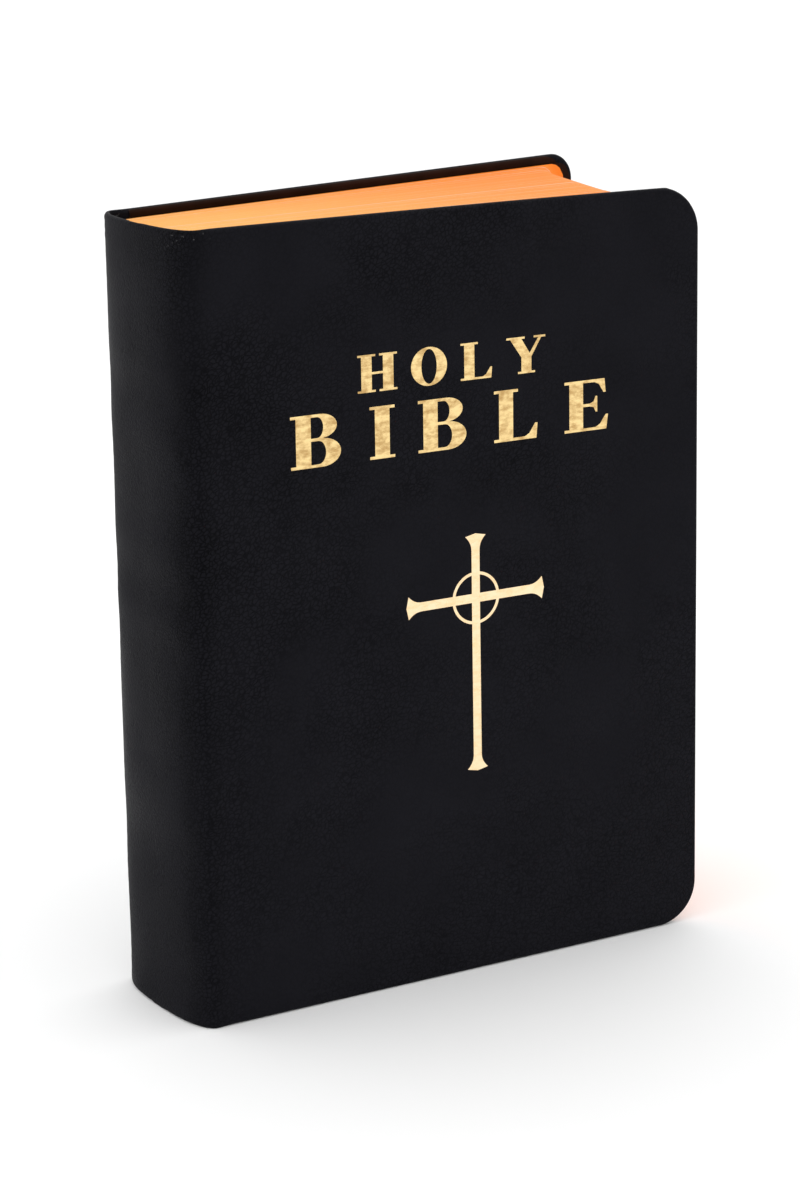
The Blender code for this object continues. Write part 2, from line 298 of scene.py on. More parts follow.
def shell(name, top, bottom, sharp_angle=40):
    """A closed thin piece between two grids of points of the same size."""
    rows, columns = top.shape[:2]
    index = np.arange(rows * columns).reshape(rows, columns)
    under = index + rows * columns
    border = np.concatenate([index[0, :-1], index[:-1, -1], index[-1, :0:-1], index[:0:-1, 0]])
    rim = np.stack([border, border + rows * columns])
    faces = grid_faces(index) + grid_faces(under[:, ::-1]) + grid_faces(rim, closed=True)
    points = np.concatenate([top.reshape(-1, 3), bottom.reshape(-1, 3)])
    return new_piece(name, points, faces, sharp_angle)


def along_line(line, shares):
    """Points at these shares of a line's length."""
    steps = np.concatenate([[0], np.cumsum(np.linalg.norm(np.diff(line, axis=0), axis=1))])
    reach = np.asarray(shares) * steps[-1]
    return np.stack([np.interp(reach, steps, line[:, axis]) for axis in range(line.shape[1])], -1)


def outline_sides(start, end, low, high, radius):
    """Tail, fore-edge and head of an upright rectangle, its end corners rounded, split at mid-corner."""
    turn = np.linspace(0, math.pi / 4, 17)
    inner = end - radius
    tail_arc = np.stack([inner + radius * np.sin(turn), low + radius * (1 - np.cos(turn))], -1)
    fore_arc = np.stack([inner + radius * np.cos(turn), low + radius * (1 - np.sin(turn))], -1)[::-1]
    tail = np.concatenate([[[start, low]], tail_arc])
    middle = (low + high) / 2
    lower = np.concatenate([fore_arc, [[end, middle]]])
    upper = np.stack([lower[:, 0], 2 * middle - lower[:, 1]], -1)[::-1]
    head = np.stack([tail[:, 0], 2 * middle - tail[:, 1]], -1)
    return tail, np.concatenate([lower, upper[1:]]), head


def border_loop(sides, columns, rows):
    """The outline's points in one line, from the tail's start round the fore-edge to the head's start."""
    tail, fore, head = sides
    return np.concatenate(
        [along_line(tail, columns), along_line(fore, rows)[1:], along_line(head, columns)[-2::-1]]
    )


def filled_patch(sides, columns, rows):
    """A grid of points over the outline: rows run from tail to head, columns from start to end."""
    tail, fore, head = (along_line(side, shares) for side, shares in zip(sides, (columns, rows, columns)))
    u, v = np.asarray(columns)[None, :, None], np.asarray(rows)[:, None, None]
    start = tail[0] + v[:, 0] * (head[0] - tail[0])
    across = (1 - u) * start[:, None] + u * fore[:, None]
    upright = (1 - v) * tail[None] + v * head[None]
    corners = (1 - v) * ((1 - u) * tail[0] + u * tail[-1]) + v * ((1 - u) * head[0] + u * head[-1])
    return across + upright - corners


def stretches(*stops):
    """Shares from 0 to 1 through places given as (place, step up to it), each stretch evenly stepped."""
    places = [0.0]
    for place_at, step in stops:
        count = max(1, round((place_at - places[-1]) / step))
        places.extend(np.linspace(places[-1], place_at, count + 1)[1:])
    return np.array(places) / places[-1]


ROWS = stretches((0.010, 0.0007), (HEIGHT - 0.020, 0.0022), (HEIGHT - 0.010, 0.0010), (HEIGHT, 0.0004))


# --- The leatherette ------------------------------------------------------------------------------


def cover_skin(side):
    """One cover's leatherette from its seam with the spine's piece, folded over on its other sides."""
    last = COVER_END - SEAM_RUN - MID_CORNER * CORNER[side]
    columns = stretches((0.014, 0.0006), (0.022, 0.0014), (last - 0.012, 0.0026), (last, 0.0006))

    def sides_at(inset):
        radius = max(CORNER[side] - inset, SMALLEST_CORNER)
        return outline_sides(SEAM_RUN, COVER_END - inset, inset, HEIGHT - inset, radius)

    def placed(flat, depth):
        return place(side * flat[..., 0], flat[..., 1], depth)

    face = filled_patch(sides_at(EDGE_ROUND), columns, ROWS)
    back = filled_patch(sides_at(LEATHER), columns, ROWS)
    rows, width = face.shape[:2]
    index = np.arange(rows * width).reshape(rows, width)
    border = np.concatenate([index[0], index[1:, -1], index[-1, -2::-1]])
    points = [placed(face, -swell(side * face[..., 0], face[..., 1])).reshape(-1, 3)]
    faces = grid_faces(index)
    borders = [border]
    count = rows * width
    for inset, depth_at in EDGE_LOOPS:
        flat = border_loop(sides_at(inset), columns, ROWS)
        run = side * flat[:, 0]
        depth = depth_at(run, flat[:, 1])
        depth -= swell(run, flat[:, 1]) * (1 - smooth(depth, 0, LEATHER))
        points.append(placed(flat, depth))
        borders.append(np.arange(count, count + len(flat)))
        count += len(flat)
    points.append(placed(back, np.full(back.shape[:2], LEATHER)).reshape(-1, 3))
    borders.append(border + count)
    faces += grid_faces((index + count)[:, ::-1])
    faces += grid_faces(np.stack(borders))
    cap = [*index[:, 0], *(loop[-1] for loop in borders[1:-1])]
    cap += [*(index[::-1, 0] + count), *(loop[0] for loop in borders[-2:0:-1])]
    faces.append([int(number) for number in cap])
    name = SIDE_NAME[side]
    skin = new_piece(name + "_cover_skin", np.concatenate(points), faces)
    skin.data.materials.append(LEATHERETTE)
    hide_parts(name + "_cover_leather")
    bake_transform(skin)


def spine_skin():
    """The spine's leatherette between the covers' pieces, turned in at head and tail."""
    fine_step, fine_steps, coarse_steps = 0.00025, 12, 24
    half = [fine_step * step for step in range(1, fine_steps + 1)]
    half += list(np.linspace(half[-1], SEAM_RUN, coarse_steps + 1)[1:])
    runs = np.array([-run for run in reversed(half)] + [0.0] + half)
    strips = []
    face_z = EDGE_ROUND + ROWS * (HEIGHT - 2 * EDGE_ROUND)
    back_z = LEATHER + ROWS * (HEIGHT - 2 * LEATHER)
    run, z = np.meshgrid(runs, face_z, indexing="ij")
    strips.append(place(run, z, -swell(run, z)))
    folds = []
    for inset, depth_at in EDGE_LOOPS:
        for z in (inset, HEIGHT - inset):
            depth = depth_at(runs, np.full(runs.shape, z))
            depth = depth - swell(runs, z) * (1 - smooth(depth, 0, LEATHER))
            folds.append(place(runs, z, depth)[:, None])
    tail_folds, head_folds = folds[0::2], folds[1::2]
    run, z = np.meshgrid(runs, back_z[::-1], indexing="ij")
    strips += head_folds + [place(run, z, np.full(run.shape, LEATHER))] + tail_folds[::-1]
    grid = np.concatenate(strips, 1)
    index = np.arange(grid.shape[0] * grid.shape[1]).reshape(grid.shape[:2])
    faces = grid_faces(index, closed=True) + [index[0].tolist(), index[-1].tolist()]
    skin = new_piece("spine_skin", grid.reshape(-1, 3), faces)
    skin.data.materials.append(LEATHERETTE)
    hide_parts("spine_leather_front_half", "spine_leather_back_half")
    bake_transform(skin)


# --- The endpapers --------------------------------------------------------------------------------


def endpaper(side):
    """The dark lining inside a cover, folded at the joint and running a little way onto the pages."""
    margin, fore_margin, corner = 0.00015, 0.0045, 0.0060
    cover_depth, page_depth = 0.00285, 0.00357
    thickness, blend_inset = 0.0001, 0.00008
    fold_radius = (page_depth - cover_depth) / 2
    fold_at = HINGE_ALONG + 0.0012
    onto_page, page_steps = 0.004, 9
    reach = COVER_LENGTH - fore_margin
    turn = np.linspace(0, math.pi / 2, 13)
    rounded = reach - corner + corner * np.cos(turn)
    plain = np.linspace(reach - corner, fold_at + fold_radius, 60)[1:]
    bend = np.linspace(0, math.pi, 17)
    folded = fold_at + fold_radius * (1 - np.sin(bend[1:-1]))
    inner = np.linspace(fold_at + fold_radius, PAGE_START + onto_page, page_steps)
    along = np.concatenate([rounded, plain, folded, inner])
    depth = np.concatenate([np.full(len(rounded) + len(plain), cover_depth),
                            cover_depth + fold_radius * (1 - np.cos(bend[1:-1])),
                            np.full(page_steps, page_depth)])
    past = np.maximum(along - reach + corner, 0)
    cut_in = corner - np.sqrt(np.maximum(corner**2 - past**2, 0))
    onto_pages = smooth(depth, cover_depth, page_depth)
    low = margin + cut_in + (PAGE_TAIL + 0.0002 - margin) * onto_pages
    near_edge = np.array([0, 0.0001, 0.0002, 0.0004, 0.0006, 0.0008, 0.0010, 0.0013]) / HEIGHT
    rows = np.concatenate([near_edge, np.linspace(0, 1, 41)[1:-1], 1 - near_edge[::-1]])
    z = low[:, None] + rows * (HEIGHT - 2 * low[:, None])
    run = np.broadcast_to(side * (SPINE_ARC + along)[:, None], z.shape)
    into_fold = 1 - np.clip(np.minimum(z, HEIGHT - z) / EDGE_ROUND, 0, 1)
    rounding = COVER_DEPTH / 2 * (1 - np.sqrt(1 - into_fold**2)) * (1 - onto_pages)[:, None]
    tangent = np.gradient(np.stack([along, depth], -1), axis=0)
    tangent /= np.linalg.norm(tangent, axis=1, keepdims=True)
    grids = []
    for shift in (-thickness / 2, thickness / 2):
        moved_run = run + side * shift * tangent[:, 1][:, None]
        moved_depth = depth[:, None] - shift * tangent[:, 0][:, None] - rounding
        grids.append(place(moved_run, z, moved_depth))
    name = SIDE_NAME[side]
    paper = shell(name + "_endpaper", *grids)
    paper.data.materials.append(LINING_PAPER)
    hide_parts(name + "_pastedown")
    at_fold = np.array(side * (SPINE_ARC + fold_at))
    start = outer_line(at_fold) - (cover_depth + blend_inset) * outward(at_fold)
    end = outer_line(at_fold) - (page_depth - blend_inset) * outward(at_fold)
    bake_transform(paper)


def flyleaf(side):
    """The loose leaf of lining paper next to the pages."""
    depth, thickness = 0.0034, 0.00016
    sides = outline_sides(PAGE_START, PAGE_START + PAGE_WIDTH, PAGE_TAIL, PAGE_HEAD, PAGE_CORNER[side])
    flat = filled_patch(sides, stretches((0.12, 0.003), (0.138, 0.0012)), stretches((1, 0.014)))
    run = side * (SPINE_ARC + flat[..., 0])
    sag = 0.00003 * np.sin(flat[..., 1] / 0.019) * np.sin(flat[..., 0] / 0.03)
    grids = [place(run, flat[..., 1], depth + sag + shift) for shift in (-thickness / 2, thickness / 2)]
    name = SIDE_NAME[side] + "_flyleaf"
    leaf = shell(name + "_sheet", *grids)
    leaf.data.materials.append(LINING_PAPER)
    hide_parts(name)
    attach(leaf, name)


# --- The pages ------------------------------------------------------------------------------------


def leaf_points(share, flat):
    """Points in space of a leaf's flat outline at this share (-1 front to 1 back) of the block."""
    x = SPINE_X + BLOCK_INSET + BLOCK_ROUND * float(ellipse_rise(share, BLOCK_POWER))
    lean = FLARE * share
    reach = flat[:, 0]
    points = [x + reach * math.cos(lean), share * HALF_BLOCK + reach * math.sin(lean), flat[:, 1]]
    return lift(np.stack(points, -1))


def page_corner(share):
    """The corners' radius of the leaf at this share of the block."""
    return float(np.interp(share, (FRONT, BACK), (PAGE_CORNER[FRONT], PAGE_CORNER[BACK])))


def section_pages(number, chance):
    """A sewn section, its edges stepped leaf by leaf."""
    columns, rows = stretches((0.11, 0.0055), (0.135, 0.0016)), stretches((1, 0.012))
    first = number / SECTIONS_PER_HALF - 1
    split = SECTION_SPLIT / HALF_BLOCK
    shares = np.linspace(first + split, first + 1 / SECTIONS_PER_HALF - split, LEAVES_PER_SECTION)
    loops = []
    slip = chance.uniform(-0.00003, 0.00001)
    for share in shares:
        inset = slip + chance.uniform(-0.00002, 0.00002)
        low, high = PAGE_TAIL - inset, PAGE_HEAD + inset
        sides = outline_sides(0, PAGE_WIDTH + inset, low, high, page_corner(share))
        loops.append(leaf_points(share, border_loop(sides, columns, rows)))
    grid = np.array(loops)
    index = np.arange(grid.shape[0] * grid.shape[1]).reshape(grid.shape[:2])
    faces = grid_faces(index, closed=True) + [index[0].tolist(), index[-1][::-1].tolist()]
    name = f"section_{number + 1:02d}"
    pages = new_piece("pages_" + name[-2:], grid.reshape(-1, 3), faces, 30)
    pages.data.materials.append(GILDED_EDGE)
    pages.data.materials.append(PAPER)
    material_of = [0] * (len(faces) - 2) + [1, 1]
    pages.data.polygons.foreach_set("material_index", material_of)
    leaf_number = pages.data.attributes.new("leaf", "FLOAT", "POINT")
    leaf_number.data.foreach_set("value", np.repeat(shares, grid.shape[1]).astype(np.float32))
    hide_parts(name)
    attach(pages, "front_half" if number < SECTIONS_PER_HALF else "back_half")


def middle_sheet():
    """The sheet of two leaves at the middle of the book, whose fold spans the two halves when they open."""
    fold_x, gap, thickness = 0.00130, 0.000033, 0.00003
    end, corner = BLOCK_INSET + PAGE_WIDTH, page_corner(0)
    turn = np.linspace(0, math.pi / 2, 11)
    leaf = np.concatenate([end - corner + corner * np.cos(turn),
                           np.linspace(end - corner, fold_x + gap, 40)[1:]])
    bend = np.linspace(0, math.pi, 15)[1:-1]
    x = np.concatenate([leaf, fold_x + gap * (1 - np.sin(bend)), leaf[::-1]])
    y = np.concatenate([np.full(len(leaf), -gap), -gap * np.cos(bend), np.full(len(leaf), gap)])
    past = np.maximum(x - end + corner, 0)
    low = PAGE_TAIL + corner - np.sqrt(np.maximum(corner**2 - past**2, 0))
    z = low[:, None] + np.linspace(0, 1, 31) * (HEIGHT - 2 * low[:, None])
    tangent = np.gradient(np.stack([x, y], -1), axis=0)
    tangent /= np.linalg.norm(tangent, axis=1, keepdims=True)
    grids = []
    for shift in (-thickness / 2, thickness / 2):
        plan_x = SPINE_X + x - shift * tangent[:, 1]
        plan_y = y + shift * tangent[:, 0]
        points = [np.broadcast_to(plan_x[:, None], z.shape), np.broadcast_to(plan_y[:, None], z.shape), z]
        grids.append(lift(np.stack(points, -1)))
    sheet = shell("middle_sheet", *grids, sharp_angle=60)
    sheet.data.materials.append(PAPER)
    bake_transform(sheet)


# --- The foil -------------------------------------------------------------------------------------

STEM, THIN, SERIF = 0.24, 0.055, 0.085  # of a capital's height


def arc(x, y, radius_x, radius_y, start, end, steps=16):
    """Points on part of an ellipse, with its angles in degrees."""
    angles = np.radians(np.linspace(start, end, steps + 1))
    return [(x + radius_x * math.cos(angle), y + radius_y * math.sin(angle)) for angle in angles]


def stem_top(left, right):
    """The top of a stem with its serif, from right to left."""
    return [(right, 1 - THIN), (right + SERIF, 1 - THIN), (right + SERIF, 1), (left - SERIF, 1),
            (left - SERIF, 1 - THIN), (left, 1 - THIN)]


def stem_foot(left, right):
    """The foot of a stem with its serif, from left to right."""
    return [(left, THIN), (left - SERIF, THIN), (left - SERIF, 0), (right + SERIF, 0),
            (right + SERIF, THIN), (right, THIN)]


def letter_h():
    left, right = 0.50, 0.50 + STEM
    outline = stem_foot(0, STEM) + [(STEM, 0.47), (left, 0.47)] + stem_foot(left, right)
    outline += stem_top(left, right) + [(left, 0.53), (STEM, 0.53)] + stem_top(0, STEM)
    return right, [outline]


def letter_o():
    return 0.84, [arc(0.42, 0.5, 0.42, 0.52, 0, 360, 40)[:-1], arc(0.42, 0.5, 0.18, 0.465, 0, 360, 40)[:-1]]


def letter_l():
    foot = [(0, THIN), (-SERIF, THIN), (-SERIF, 0), (0.64, 0), (0.66, 0.30), (0.62, 0.30), (0.52, 0.11),
            (0.44, THIN), (STEM, THIN)]
    return 0.66, [foot + stem_top(0, STEM)]


def letter_y():
    left, right = 0.30, 0.30 + STEM
    arms = [(right, 0.44), (0.78, 1 - THIN), (0.88, 1 - THIN), (0.88, 1), (0.60, 1), (0.60, 1 - THIN),
            (0.71, 1 - THIN), (0.50, 0.54), (0.30, 1 - THIN), (0.38, 1 - THIN), (0.38, 1), (-0.06, 1),
            (-0.06, 1 - THIN), (0.03, 1 - THIN), (left, 0.44)]
    return 0.84, [stem_foot(left, right) + arms]


def letter_b():
    outline = [(-SERIF, 0), *arc(0.42, 0.27, 0.30, 0.27, -90, 84), *arc(0.39, 0.77, 0.27, 0.23, -80, 90)]
    outline += [(-SERIF, 1), (-SERIF, 1 - THIN), (0, 1 - THIN), (0, THIN), (-SERIF, THIN)]
    lower = [(STEM, THIN), *arc(0.36, 0.275, 0.12, 0.275 - THIN, -90, 90), (STEM, 0.55 - THIN)]
    upper = [(STEM, 0.55), *arc(0.34, 0.7475, 0.10, 0.1975, -90, 90), (STEM, 1 - THIN)]
    return 0.72, [outline, lower, upper]


def letter_i():
    return STEM, [stem_foot(0, STEM) + stem_top(0, STEM)]


def letter_e():
    outline = [(0, THIN), (-SERIF, THIN), (-SERIF, 0), (0.65, 0), (0.68, 0.29), (0.64, 0.29), (0.54, 0.11),
               (0.46, THIN), (STEM, THIN), (STEM, 0.475), (0.36, 0.475), (0.43, 0.45), (0.46, 0.36),
               (0.49, 0.36), (0.49, 0.67), (0.46, 0.67), (0.43, 0.57), (0.36, 0.53), (STEM, 0.53),
               (STEM, 1 - THIN), (0.44, 1 - THIN), (0.52, 0.90), (0.60, 0.73), (0.64, 0.73), (0.62, 1),
               (-SERIF, 1), (-SERIF, 1 - THIN), (0, 1 - THIN)]
    return 0.68, [outline]


# Each letter's function gives its width and its outlines, in heights of a capital
LETTERS = {"B": letter_b, "E": letter_e, "H": letter_h, "I": letter_i, "L": letter_l, "O": letter_o,
           "Y": letter_y}
WIDEN = 1.3  # the title's letters are this much wider than drawn


def title_line(word, middle, base, capital, gap):
    """A word's outlines in plain Roman capitals, as distances along the cover and heights."""
    drawn = [LETTERS[letter]() for letter in word]
    widths = [width * WIDEN * capital for width, _ in drawn]
    left = middle - (sum(widths) + gap * (len(word) - 1)) / 2
    outlines = []
    for width, (_, shapes) in zip(widths, drawn):
        for shape in shapes:
            outlines.append([(left + x * WIDEN * capital, base + y * capital) for x, y in shape])
        left += width + gap
    return outlines


def cross_outline(middle, crossing, up, down, across, half_width, flare, flare_length):
    """A Latin cross whose arms flare at their ends, as one outline."""
    outline = []
    for turn, length in ((0, up), (1, across), (2, down), (3, across)):
        arm = [(-half_width, half_width)]
        for step in range(8):
            share = step / 7
            arm.append((-half_width - flare * share**2.4, length - flare_length * (1 - share)))
        arm.append((0, length + flare * 0.35))
        arm += [(-x, y) for x, y in reversed(arm[1:-1])]
        for x, y in arm:
            for _ in range(turn):
                x, y = y, -x
            outline.append((middle + x, crossing + y))
    return outline


def foil(name, outlines, proud, look):
    """Foil pressed onto the front cover: flat shapes that follow the leather's face."""
    curve = bpy.data.curves.new(name, "CURVE")
    curve.dimensions = "2D"
    curve.fill_mode = "BOTH"
    curve.extrude = FOIL_DEPTH / 2
    for outline in outlines:
        spline = curve.splines.new("POLY")
        spline.points.add(len(outline) - 1)
        for point, where in zip(spline.points, outline):
            point.co = (*where, 0, 1)
        spline.use_cyclic_u = True
    guide = bpy.data.objects.new(name + "_guide", curve)
    bpy.context.scene.collection.objects.link(guide)
    mesh = bpy.data.meshes.new_from_object(guide.evaluated_get(bpy.context.evaluated_depsgraph_get()))
    bpy.data.objects.remove(guide)
    sheet = bmesh.new()
    sheet.from_mesh(mesh)
    bmesh.ops.remove_doubles(sheet, verts=sheet.verts, dist=WELD)
    spots = np.array([vert.co for vert in sheet.verts])
    for axis in (0, 1):
        normal = Vector((1 - axis, axis, 0))
        for level in np.arange(spots[:, axis].min(), spots[:, axis].max(), FOIL_PITCH)[1:]:
            everything = [*sheet.verts, *sheet.edges, *sheet.faces]
            point = normal * level
            bmesh.ops.bisect_plane(sheet, geom=everything, plane_co=point, plane_no=normal, dist=WELD)
    spots = np.array([vert.co for vert in sheet.verts])
    run = -(SPINE_ARC + spots[:, 0])
    depth = FOIL_DEPTH / 2 - proud - spots[:, 2] - swell(run, spots[:, 1])
    for vert, point in zip(sheet.verts, place(run, spots[:, 1], depth)):
        vert.co = point
    bmesh.ops.recalc_face_normals(sheet, faces=sheet.faces)
    sheet.to_mesh(mesh)
    sheet.free()
    mesh.name = name
    piece = bpy.data.objects.new(name, mesh)
    bpy.context.scene.collection.objects.link(piece)
    piece.data.materials.clear()
    piece.data.materials.append(look)
    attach(piece, "front_cover")


def add_foil():
    upper = title_line("HOLY", middle=0.0720, base=0.1645, capital=0.0098, gap=0.0052)
    lower = title_line("BIBLE", middle=0.0725, base=0.1468, capital=0.0138, gap=0.0100)
    foil("title_foil_upper", upper, FOIL_PROUD, TITLE_FOIL)
    foil("title_foil_lower", lower, FOIL_PROUD, TITLE_FOIL)
    middle, crossing = 0.0780, 0.1055
    arms = {"up": 0.0170, "down": 0.0475, "across": 0.0205}
    cross = cross_outline(middle, crossing, **arms, half_width=0.00122, flare=0.0019, flare_length=0.0042)
    foil("cross_foil", [cross], FOIL_PROUD, CROSS_FOIL)
    ring = [arc(middle, crossing, radius, radius, 0, 360, 64)[:-1] for radius in (0.0072, 0.0064)]
    foil("cross_ring_foil", ring, FOIL_PROUD * 0.7, CROSS_FOIL)


# --- Materials ------------------------------------------------------------------------------------


class Look:
    """A material under construction, with short ways to add its nodes."""

    def __init__(self, name, roughness, metallic=0.0, specular=0.5):
        self.material = bpy.data.materials.new(name)
        self.material.use_nodes = True
        self.tree = self.material.node_tree
        self.shader = self.tree.nodes["Principled BSDF"]
        self.shader.inputs["Roughness"].default_value = roughness
        self.shader.inputs["Metallic"].default_value = metallic
        self.shader.inputs["Specular IOR Level"].default_value = specular
        self.place = self.add("ShaderNodeTexCoord").outputs["Object"]

    def add(self, kind, **settings):
        node = self.tree.nodes.new(kind)
        for name, value in settings.items():
            setattr(node, name, value)
        return node

    def put(self, value, socket):
        """Links a socket to another, or sets its value."""
        if isinstance(value, bpy.types.NodeSocket):
            self.tree.links.new(value, socket)
        else:
            socket.default_value = value

    def noise(self, scale, detail=3.0, roughness=0.5, vector=None):
        node = self.add("ShaderNodeTexNoise")
        node.inputs["Scale"].default_value = scale
        node.inputs["Detail"].default_value = detail
        node.inputs["Roughness"].default_value = roughness
        self.put(vector or self.place, node.inputs["Vector"])
        return node.outputs["Fac"]

    def voronoi(self, scale, feature="F1", vector=None):
        node = self.add("ShaderNodeTexVoronoi", feature=feature)
        node.inputs["Scale"].default_value = scale
        self.put(vector or self.place, node.inputs["Vector"])
        return node.outputs["Distance"]

    def math(self, operation, first, second=0.0, clamp=False):
        node = self.add("ShaderNodeMath", operation=operation, use_clamp=clamp)
        self.put(first, node.inputs[0])
        self.put(second, node.inputs[1])
        return node.outputs[0]

    def between(self, value, low, high, to_low=0.0, to_high=1.0):
        node = self.add("ShaderNodeMapRange", interpolation_type="SMOOTHSTEP")
        for name, number in (("Value", value), ("From Min", low), ("From Max", high), ("To Min", to_low),
                             ("To Max", to_high)):
            self.put(number, node.inputs[name])
        return node.outputs[0]

    def mix(self, share, first, second):
        node = self.add("ShaderNodeMix", data_type="RGBA")
        self.put(share, node.inputs["Factor"])
        for socket, colour in ((node.inputs["A"], first), (node.inputs["B"], second)):
            self.put((*colour, 1) if isinstance(colour, tuple) else colour, socket)
        return node.outputs["Result"]

    def stretched(self, scale, rotation=(0, 0, 0), kind="POINT"):
        """The object's coordinates, scaled and turned."""
        node = self.add("ShaderNodeMapping", vector_type=kind)
        node.inputs["Scale"].default_value = scale
        node.inputs["Rotation"].default_value = rotation
        self.put(self.place, node.inputs["Vector"])
        return node.outputs["Vector"]

    def lengthened(self, scale, rotation):
        """The object's coordinates for a pattern made longer by the scale on turned axes."""
        return self.stretched(scale, rotation, "TEXTURE")

    def warped(self, scale, amount, vector):
        """Coordinates pushed about by a noise."""
        node = self.add("ShaderNodeTexNoise")
        node.inputs["Scale"].default_value = scale
        node.inputs["Detail"].default_value = 2
        self.put(vector, node.inputs["Vector"])
        centred = self.add("ShaderNodeVectorMath", operation="SUBTRACT")
        self.put(node.outputs["Color"], centred.inputs[0])
        centred.inputs[1].default_value = (0.5, 0.5, 0.5)
        sized = self.add("ShaderNodeVectorMath", operation="SCALE")
        self.put(centred.outputs[0], sized.inputs[0])
        sized.inputs["Scale"].default_value = amount
        moved = self.add("ShaderNodeVectorMath", operation="ADD")
        self.put(vector, moved.inputs[0])
        self.put(sized.outputs[0], moved.inputs[1])
        return moved.outputs[0]

    def bump(self, height, distance, strength=1.0):
        node = self.add("ShaderNodeBump")
        self.put(strength, node.inputs["Strength"])
        node.inputs["Distance"].default_value = distance
        self.put(height, node.inputs["Height"])
        self.put(node.outputs["Normal"], self.shader.inputs["Normal"])

    def colour(self, value):
        self.put((*value, 1) if isinstance(value, tuple) else value, self.shader.inputs["Base Color"])

    def roughness(self, value):
        self.put(value, self.shader.inputs["Roughness"])


def leatherette():
    """Black leatherette: rounded pebbles between creases, painted shade along the joints and painted
    highlight specks at their heads.
    """
    shoulder_y, joint_x, head_z = (0.0125, 0.0185), (-0.0725, -0.0665), (0.2045, 0.2090)
    look = Look("black_leatherette", 0.5, specular=0.02)
    split = look.add("ShaderNodeSeparateXYZ")
    look.put(look.place, split.inputs[0])
    grain_place = look.warped(500, 0.0012, look.lengthened((1.5, 1, 1), (0, -0.6, 0)))
    pebbles = look.between(look.voronoi(1050, "DISTANCE_TO_EDGE", grain_place), 0.0, 0.19)
    fine = look.noise(3800, 2.0)
    low_down = look.between(split.outputs["Z"], 0.0, 0.19, 0.10, 0.0)
    worn = look.between(look.math("ADD", look.noise(24, 3.0), low_down), 0.40, 0.66, 0.25, 1.0)
    height = look.math("ADD", pebbles, look.math("MULTIPLY", fine, 0.35))
    look.bump(look.math("MULTIPLY", height, worn), 0.00022, 0.7)
    grain = look.math("MULTIPLY", look.math("SUBTRACT", pebbles, 0.82), look.math("MULTIPLY", worn, 0.46))
    cloud = look.between(look.noise(45, 4.0), 0.3, 0.7, -0.07, 0.07)
    shoulder = look.between(look.math("ABSOLUTE", split.outputs["Y"]), *shoulder_y)
    painted_shade_and_glint_band = look.math("MULTIPLY", shoulder, look.between(split.outputs["X"], *joint_x, 1.0, 0.0))
    tone = look.math("ADD", look.math("ADD", 0.56, grain), look.math("ADD", cloud, low_down))
    # painted shade: the leather is darkened in a band along each joint's shoulder, where its rounding falls
    # into shade
    tone = look.math("ADD", tone, look.math("MULTIPLY", painted_shade_and_glint_band, -0.14), clamp=True)
    black = look.mix(tone, (0.0022, 0.0022, 0.0029), (0.0128, 0.0126, 0.0162))
    # painted highlight: pale grey specks near the head of each joint stand in for the glints on its creases
    head = look.between(split.outputs["Z"], *head_z)
    specks = look.between(look.noise(1100, 3.0), 0.62, 0.74)
    painted_glint_specks = look.math("MULTIPLY", specks, look.math("MULTIPLY", head, painted_shade_and_glint_band))
    look.colour(look.mix(painted_glint_specks, black, (0.12, 0.12, 0.12)))
    look.roughness(look.between(look.noise(35, 3.0), 0.3, 0.7, 0.38, 0.50))
    return look.material


def gilded_edge():
    """The pages' gilt edges: satin orange-gold with a painted highlight that pales them towards the front
    and spine, lined leaf by leaf.
    """
    look = Look("gilded_pages", 0.42, specular=0.05)
    split = look.add("ShaderNodeSeparateXYZ")
    look.put(look.place, split.inputs[0])
    # painted highlight: the gilt turns paler and yellower towards the front and the spine, in place of the
    # studio light's reflection
    depth = look.between(split.outputs["Y"], -0.020, 0.020)
    reach = look.between(split.outputs["X"], -0.090, 0.055)
    away_from_painted_highlight = look.math("ADD", look.math("MULTIPLY", depth, 0.22), look.math("MULTIPLY", reach, 0.78))
    leaf = look.add("ShaderNodeAttribute", attribute_name="leaf").outputs["Fac"]
    lines = look.add("ShaderNodeTexNoise", noise_dimensions="1D")
    look.put(look.math("MULTIPLY", leaf, 190.0), lines.inputs["W"])
    lines.inputs["Scale"].default_value = 1.0
    lines.inputs["Detail"].default_value = 3.0
    patches = look.noise(90, 3.0)
    # the first colour is the pale painted highlight, the second the deep orange of the gilt
    gold = look.mix(away_from_painted_highlight, (0.95, 0.455, 0.108), (0.94, 0.240, 0.026))
    shade = look.math("ADD", look.between(lines.outputs["Fac"], 0.25, 0.75, 0.95, 1.0),
                      look.between(patches, 0.3, 0.7, -0.03, 0.03))
    look.colour(look.mix(shade, (0.60, 0.20, 0.03), gold))
    look.bump(lines.outputs["Fac"], 0.00004, 0.5)
    return look.material


def paper():
    """Thin cream bible paper with faint fibres."""
    look = Look("bible_paper", 0.85, specular=0.25)
    fibres = look.noise(1400, 4.0, 0.7, look.stretched((1, 1, 0.35)))
    cloud = look.noise(40, 3.0)
    tone = look.math("MULTIPLY", look.math("ADD", fibres, cloud), 0.5)
    look.colour(look.mix(look.between(tone, 0.35, 0.65), (0.80, 0.74, 0.61), (0.87, 0.82, 0.70)))
    look.bump(fibres, 0.00002, 0.4)
    return look.material


def lining_paper():
    """Dark reddish-brown lining paper, glossy, with a pressed fleck."""
    look = Look("dark_lining_paper", 0.38, specular=0.03)
    flecks = look.between(look.voronoi(900), 0.0, 0.12, 1.0, 0.0)
    cloud = look.noise(120, 4.0)
    base = look.mix(look.between(cloud, 0.3, 0.7), (0.013, 0.0046, 0.0022), (0.021, 0.0072, 0.0036))
    look.colour(look.mix(look.math("MULTIPLY", flecks, 0.5), base, (0.075, 0.045, 0.030)))
    look.bump(look.noise(2600, 3.0), 0.00003, 0.5)
    look.roughness(look.between(cloud, 0.3, 0.7, 0.30, 0.46))
    return look.material


